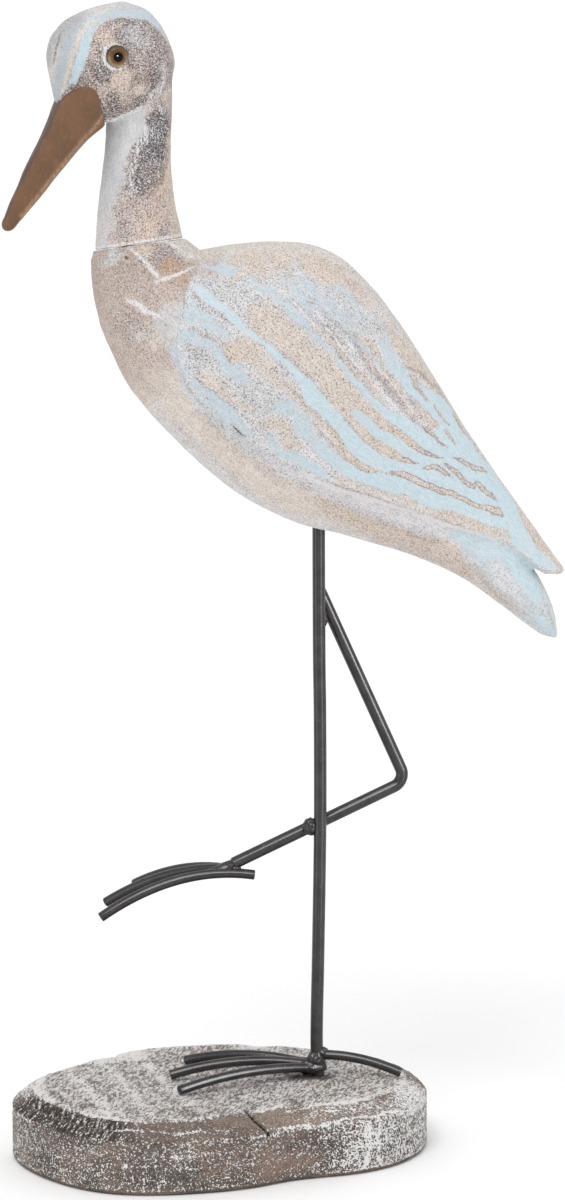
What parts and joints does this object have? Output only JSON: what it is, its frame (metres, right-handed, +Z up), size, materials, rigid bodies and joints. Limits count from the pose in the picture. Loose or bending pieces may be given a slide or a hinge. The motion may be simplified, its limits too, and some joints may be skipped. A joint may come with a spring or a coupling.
{
  "type": "carved wooden crane statue on a base",
  "caption": "Carved and painted wooden crane standing on one steel-rod leg with the other leg raised, fixed to a weathered wooden slab base.",
  "frame": {"origin": "middle of the base's underside, on the surface it stands on", "axes": "+Z up, along the standing leg; the bird looks along -X; its left side faces -Y"},
  "size_m": [0.243, 0.1424, 0.4978],
  "materials": {
    "painted_wood": "carved wood under worn pale blue, white and tan paint, matte",
    "bill_wood": "brown stained wood, satin",
    "eye_glass": "amber glass with a dark pupil behind a clear gloss dome",
    "black_steel": "charcoal black, satin, over welded steel rod",
    "base_wood": "weathered grey-brown wood with dry-brushed white, matte"
  },
  "bodies": {
    "root": {"base": "base_wood", "body": "painted_wood", "neck_and_head": "painted_wood", "bill": "bill_wood", "eye_left": "eye_glass", "eye_right": "eye_glass", "standing_leg": "black_steel", "standing_toe_left": "black_steel", "standing_toe_middle": "black_steel", "standing_toe_right": "black_steel", "standing_toe_hind": "black_steel", "raised_leg": "black_steel", "raised_toe_left": "black_steel", "raised_toe_middle": "black_steel", "raised_toe_right": "black_steel"}
  },
  "joints": []
}
